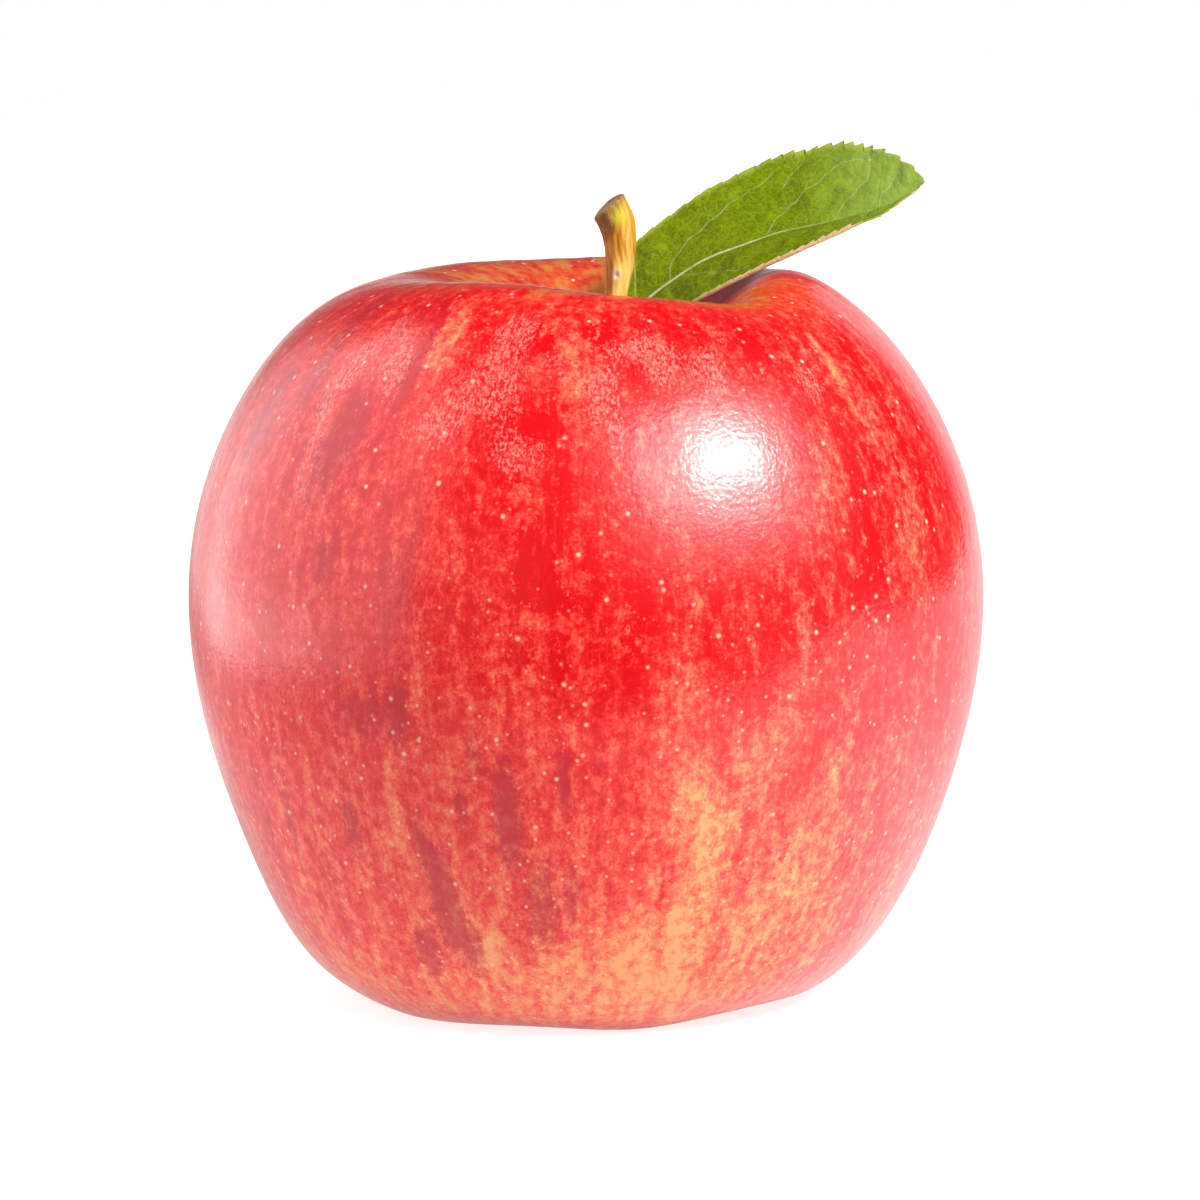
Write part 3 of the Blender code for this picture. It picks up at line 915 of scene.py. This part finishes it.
def leafTop():
    b = blade
    material, tree, shader = newMaterial("leafTop")
    place = painted(tree, "bladePlace", "Vector")
    solid = millimetres(tree)
    vein = painted(tree, "vein")
    coarseNet = cells(addWarp(place, 0.9, 0.5), b["coarseCells"], "DISTANCE_TO_EDGE")
    fineNet = cells(addWarp(place, 2.0, 0.25), b["fineCells"], "DISTANCE_TO_EDGE")
    cloud = grain(place, 0.35, 4, 0.6)
    mottle = grain(solid, 2.9, 4, 0.72)
    flecks = grain(solid, 6.5, 2, 0.7)
    light = addUp(-0.13, (cloud, 0.4), (mottle, 0.5), (flecks, 0.38))
    colour = coloured(light, b["green"])
    paleTip = fade(painted(tree, "nearTip"), 0.55, 1.0, 0.0, 0.66)
    colour = mixed(paleTip, colour, b["nearTip"])
    colour = mixed(product(painted(tree, "nearHalf"), 0.4), colour, b["nearHalf"])
    coarse = fade(coarseNet, 0.0, 0.10, 1, 0)
    fine = fade(fineNet, 0.0, 0.12, 1, 0)
    colour = mixed(addUp(0, (coarse, 0.30), (fine, 0.14)), colour, b["network"])
    worn = fade(grain(place, 0.6, 3, 0.6), 0.34, 0.54, 0.4, 0.85)
    colour = mixed(product(fade(vein, 0.35, 0.95), worn), colour, b["vein"])
    colour = mixed(product(painted(tree, "edge"), 0.45), colour, b["edge"])
    colour = mixed(fade(painted(tree, "spot"), 0.2, 0.8), colour, b["spot"])
    relief = addUp(
        0, (fade(coarseNet, 0.0, 0.22), 0.6), (fade(fineNet, 0.0, 0.3), 0.3),
        (mottle, 0.3), (vein, 0.5),
    )
    dress(shader, {
        "Base Color": colour,
        "Normal": raised(relief, b["relief"], 0.8),
        "Roughness": addUp(0.42, (mottle, 0.2)),
        "Specular IOR Level": 0.07,
    })
    return material


def addWarp(vector, scale, amount):
    # bends the straight sides of the cells
    tree = vector.id_data
    shift = addNode(tree, "TexNoise", Vector=vector, Scale=scale, Detail=2.0).outputs["Color"]
    swing = addNode(tree, "VectorMath", {"operation": "SUBTRACT"}, Vector=shift)
    swing.inputs[1].default_value = (0.5, 0.5, 0.5)
    scaled = addNode(tree, "VectorMath", {"operation": "SCALE"}, Vector=swing.outputs[0], Scale=amount)
    total = addNode(tree, "VectorMath", {"operation": "ADD"}, Vector=vector)
    feed(total.inputs[1], scaled.outputs[0])
    return total.outputs[0]


def leafUnder():
    b = blade
    material, tree, shader = newMaterial("leafUnder")
    place = painted(tree, "bladePlace", "Vector")
    vein = painted(tree, "vein")
    felt = grain(millimetres(tree), 5.0, 4, 0.7)
    coarseNet = cells(addWarp(place, 0.9, 0.5), b["coarseCells"], "DISTANCE_TO_EDGE")
    network = fade(coarseNet, 0.0, 0.12, 1, 0)
    colour = coloured(felt, b["felt"])
    colour = mixed(product(network, 0.3), colour, b["underNetwork"])
    colour = mixed(product(fade(vein, 0.25, 0.85), 0.8), colour, b["underVein"])
    dress(shader, {
        "Base Color": colour,
        "Normal": raised(addUp(0, (felt, 0.6), (vein, 1.0)), b["underRelief"], 0.8),
        "Roughness": 0.75,
        "Sheen Weight": 0.4,
    })
    return material


def leafStalk():
    material, tree, shader = newMaterial("leafStalk")
    fibre = grain(stretched(millimetres(tree), (1, 1, 0.2)), 3.0, 4, 0.6)
    dress(shader, {
        "Base Color": coloured(fibre, blade["stalk"]),
        "Normal": raised(fibre, blade["stalkRelief"], 0.8),
        "Roughness": 0.6,
    })
    return material


flowerEnd = {
    # lengths in mm
    "sepals": 5,
    "length": 3.7,
    "halfWidth": 1.15,
    "curl": 1.5,
    "cup": 0.25,
    "thickness": 0.3,
    "ring": 2.9,
    "foot": 7.75,
    "filaments": 20,
    "filamentRadius": 0.15,
    "tuftRadius": 0.85,
    "tuftHeight": 3.0,
    "tuftTop": 8.1,
    "sepalBrown": ((0.35, (0.07, 0.035, 0.016)), (0.55, (0.17, 0.10, 0.045)), (0.75, (0.34, 0.25, 0.14))),
    "tuftBrown": ((0.3, (0.03, 0.016, 0.009)), (0.6, (0.10, 0.055, 0.028)), (0.8, (0.22, 0.14, 0.07))),
    "sepalRelief": 0.12 * mm,
    "tuftRelief": 0.08 * mm,
}


def makeSepals():
    e = flowerEnd
    look = driedSepal()
    for number in range(e["sepals"]):
        turn = 2 * math.pi * number / e["sepals"]
        bm = bmesh.new()
        bmesh.ops.create_grid(bm, x_segments=20, y_segments=44, size=1)
        for vert in bm.verts:
            side, share = vert.co.x, (vert.co.y + 1) / 2
            tooth = 1 - 0.85 * share**2 + 0.05 * math.sin(share * 23 + number)
            inward = e["curl"] * math.sin(share * math.pi / 2) ** 2 + e["cup"] * side**2
            crease = 0.12 * math.exp(-((side / 0.16) ** 2)) - 0.07 * math.sin(side * 9 + share * 5)
            sway = 0.2 * math.sin(share * 3 + number * 2.1) * share
            across = side * e["halfWidth"] * tooth + sway
            vert.co = Vector((e["ring"] - inward + crease, across, e["foot"] - e["length"] * share)) * mm
        bmesh.ops.rotate(bm, verts=bm.verts, matrix=Matrix.Rotation(turn, 3, "Z"))
        bmesh.ops.translate(bm, verts=bm.verts, vec=(fruit["baseOffset"], 0, 0))
        facingOut(bm)
        piece = finished(bm, f"sepalScale{number + 1}", look)
        thicken(piece, e["thickness"] * mm)
        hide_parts(f"sepal_{number + 1}")
        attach(piece, "root")
    print("sepals", e["sepals"])


def makeTuft():
    # a tuft of dried filaments with small heads, spreading from the basin's floor
    e = flowerEnd
    bm = bmesh.new()
    for number in range(e["filaments"]):
        angle = number * 2.4
        spread = e["tuftRadius"] * math.sqrt((number + 0.5) / e["filaments"])
        tall = e["tuftHeight"] * seeded.uniform(0.75, 1.0)
        made = bmesh.ops.create_uvsphere(bm, u_segments=6, v_segments=14, radius=1)
        for vert in made["verts"]:
            drop = math.acos(max(-1.0, min(1.0, vert.co.z))) / math.pi
            ringAngle = math.atan2(vert.co.y, vert.co.x)
            thick = e["filamentRadius"] * min(1, 12 * min(drop, 1 - drop))
            thick *= 1 - 0.3 * drop + (0.7 if 0.8 < drop < 0.97 else 0)
            bow = spread * (0.55 + 0.45 * math.cos(drop * 2.2))
            lean = angle + 0.12 * math.sin(drop * 5 + number)
            vert.co = Vector((
                thick * math.cos(ringAngle) + bow * math.cos(lean),
                thick * math.sin(ringAngle) + bow * math.sin(lean),
                e["tuftTop"] - tall * drop,
            )) * mm
    bmesh.ops.translate(bm, verts=bm.verts, vec=(fruit["baseOffset"], 0, 0))
    facingOut(bm)
    piece = finished(bm, "driedTuft", driedTuft())
    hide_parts("dried_stamens")
    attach(piece, "root")
    print("tuft", e["filaments"])


def driedSepal():
    material, tree, shader = newMaterial("driedSepal")
    solid = millimetres(tree)
    fibre = grain(stretched(solid, (1, 1, 0.3)), 3.2, 4, 0.65)
    felt = grain(solid, 9.0, 3, 0.6)
    light = addUp(0, (fibre, 0.7), (felt, 0.35))
    dress(shader, {
        "Base Color": coloured(light, flowerEnd["sepalBrown"]),
        "Normal": raised(light, flowerEnd["sepalRelief"]),
        "Roughness": 0.85,
        "Sheen Weight": 0.4,
    })
    return material


def driedTuft():
    material, tree, shader = newMaterial("driedTuft")
    felt = grain(millimetres(tree), 4.0, 4, 0.65)
    dress(shader, {
        "Base Color": coloured(felt, flowerEnd["tuftBrown"]),
        "Normal": raised(felt, flowerEnd["tuftRelief"]),
        "Roughness": 0.9,
    })
    return material


studio = {
    "aim": (0.00142, -0.00014, 0.04015),
    "distance": 0.75,
    "elevation": 8,
    "lens": 222.3,
    # name, shape, azimuth from the front with right positive, elevation, distance, width, height, radiance
    "lamps": (
        ("keyBox", "ELLIPSE", 51.6, 40.0, 0.9, 0.36, 0.22, 23.0),
        ("keyGlow", "ELLIPSE", 46.5, 40.5, 0.92, 0.76, 0.56, 4.3),
        ("keyVeil", "RECTANGLE", 46, 37, 0.95, 1.15, 0.80, 1.35),
        ("leftFill", "RECTANGLE", -38, 6, 0.9, 0.9, 0.7, 0.3),
    ),
    # cards close on the left: name, centre, width, height and radiance
    "cards": (
        ("frontCard", (-0.155, -0.09, 0.134), 0.12, 0.26, 1.5),
        ("backCard", (-0.155, 0.05, 0.164), 0.16, 0.32, 1.65),
    ),
    "tableSide": 1.3,
    "tableFront": -0.12,
    "tableGrey": ((0.3, (0.46, 0.46, 0.46)), (0.7, (0.50, 0.50, 0.50))),
    # glow close to the fruit and far from it, and between which distances in mm
    "tableGlow": (0.8, 1.2),
    "glowReach": (110, 520),
    # zones in mm of painted light and painted shade that the fruit mirrors brighter or dimmer: across,
    # then back or across again
    "rightZone": ((5, 80), (-5, 55)),
    "rightGlow": 0.58,
    "frontZone": ((0, 60), (-75, -30)),
    "frontDim": 0.3,
    "cardZone": ((-172, -158), (-104, -76)),
    "cardDim": 0.5,
    "mirrorDim": 0.42,
    # the back wall, and a dim gap in its middle, as shares of a unit ball around the fruit
    "worldGlow": 0.02,
    "wallGlow": 0.9,
    "wallStart": (0.77, 0.81),
    "wallTop": (0.36, 0.56),
    "gapSide": (0.28, 0.36),
    "gapFoot": (0.03, 0.09),
}


def makeTable():
    s = studio
    side = s["tableSide"]
    bm = bmesh.new()
    bmesh.ops.create_grid(bm, x_segments=8, y_segments=8, size=side / 2)
    bmesh.ops.translate(bm, verts=bm.verts, vec=(0, side / 2 + s["tableFront"], 0))
    table = finished(bm, "glowingTable")
    material, tree, shader = newMaterial("glowingTable")
    solid = millimetres(tree)
    speck = grain(solid, 0.02, 3)
    away = addNode(tree, "VectorMath", {"operation": "LENGTH"}, Vector=solid).outputs["Value"]
    glow = fade(away, *s["glowReach"], *s["tableGlow"])

    # what the fruit mirrors is painted light and shade in the table's glow: a painted pool of light on the
    # right, painted shade in front and where the left card stands
    spot = addNode(tree, "SeparateXYZ", Vector=solid)
    across, back = spot.outputs["X"], spot.outputs["Y"]
    rightX, rightY = s["rightZone"]
    frontX, frontY = s["frontZone"]
    cardFrom, cardTo = s["cardZone"]
    right = product(fade(across, *rightX), fade(back, *rightY, 1, 0))
    front = product(fade(across, *frontX, 1, 0), fade(back, *frontY, 1, 0))
    card = product(fade(across, *cardFrom), fade(across, *cardTo, 1, 0))
    mirrored = addUp(
        glow, (right, s["rightGlow"]), (front, -s["frontDim"]), (card, -s["cardDim"]),
    )
    mirrored = calc("MAXIMUM", calc("SUBTRACT", mirrored, s["mirrorDim"]), 0.0)
    # the table glows though it is no lamp: white where the camera sees it, and for all other light the
    # zoned painted light and painted shade above
    seen = addNode(tree, "LightPath").outputs["Is Camera Ray"]
    shown = product(seen, glow)
    mirrored = product(opposite(seen), mirrored)
    dress(shader, {
        "Base Color": coloured(speck, s["tableGrey"]),
        "Roughness": 0.8,
        "Specular IOR Level": 0.1,
        "Emission Color": (1, 1, 1, 1),
        "Emission Strength": calc("ADD", shown, mirrored),
    })
    table.data.materials.append(material)


def aimAt(item, place, target):
    item.location = place
    item.rotation_euler = (Vector(target) - Vector(place)).to_track_quat("-Z", "Y").to_euler()


def makeLamp(name, shape, place, target, width, height, radiance):
    lamp = bpy.data.lights.new(name, "AREA")
    lamp.shape = shape
    lamp.size, lamp.size_y = width, height
    lamp.energy = radiance * math.pi * width * height
    aimAt(placed(name, lamp), place, target)


def makeLights():
    s = studio
    aim = Vector(s["aim"])
    for name, shape, azimuth, elevation, distance, *glow in s["lamps"]:
        turn, rise = math.radians(azimuth), math.radians(elevation)
        away = Vector((math.sin(turn) * math.cos(rise), -math.cos(turn) * math.cos(rise), math.sin(rise)))
        makeLamp(name, shape, aim + away * distance, aim, *glow)
    for name, place, *glow in s["cards"]:
        makeLamp(name, "RECTANGLE", place, (0, place[1], place[2]), *glow)

    # white where the camera looks past the table; all other light finds a dim room with a pale back wall
    world = bpy.data.worlds.new("paleStudio")
    scene.world = world
    world.use_nodes = True
    tree = world.node_tree
    tree.nodes.clear()
    seen = addNode(tree, "LightPath").outputs["Is Camera Ray"]
    toward = addNode(tree, "SeparateXYZ", Vector=addNode(tree, "TexCoord").outputs["Generated"])
    across, back, up = (toward.outputs[name] for name in ("X", "Y", "Z"))
    behind = fade(addUp(0, (back, 0.99), (across, -0.14)), *s["wallStart"])
    low = fade(up, *s["wallTop"], 1, 0)
    gapSide = calc("ABSOLUTE", calc("ADD", across, 0.1))
    gap = product(fade(gapSide, *s["gapSide"], 0.9, 0.0), fade(up, *s["gapFoot"]))
    behind = product(behind, opposite(gap))
    wall = product(product(behind, low), s["wallGlow"])
    strength = calc("MAXIMUM", seen, calc("ADD", wall, s["worldGlow"]))
    light = addNode(tree, "Background", Color=(1, 1, 1, 1), Strength=strength)
    out = tree.nodes.new("ShaderNodeOutputWorld")
    tree.links.new(light.outputs[0], out.inputs["Surface"])


def makeCamera():
    s = studio
    camera = bpy.data.cameras.new("studioCamera")
    camera.lens = s["lens"]
    camera.sensor_width = 36
    rise = math.radians(s["elevation"])
    aim = Vector(s["aim"])
    scene.camera = placed("studioCamera", camera)
    aimAt(scene.camera, aim + Vector((0, -math.cos(rise), math.sin(rise))) * s["distance"], aim)


makeCamera()
makeTable()
makeLights()
makeFruit()
makeStem()
makeLeaf()
makeSepals()
makeTuft()
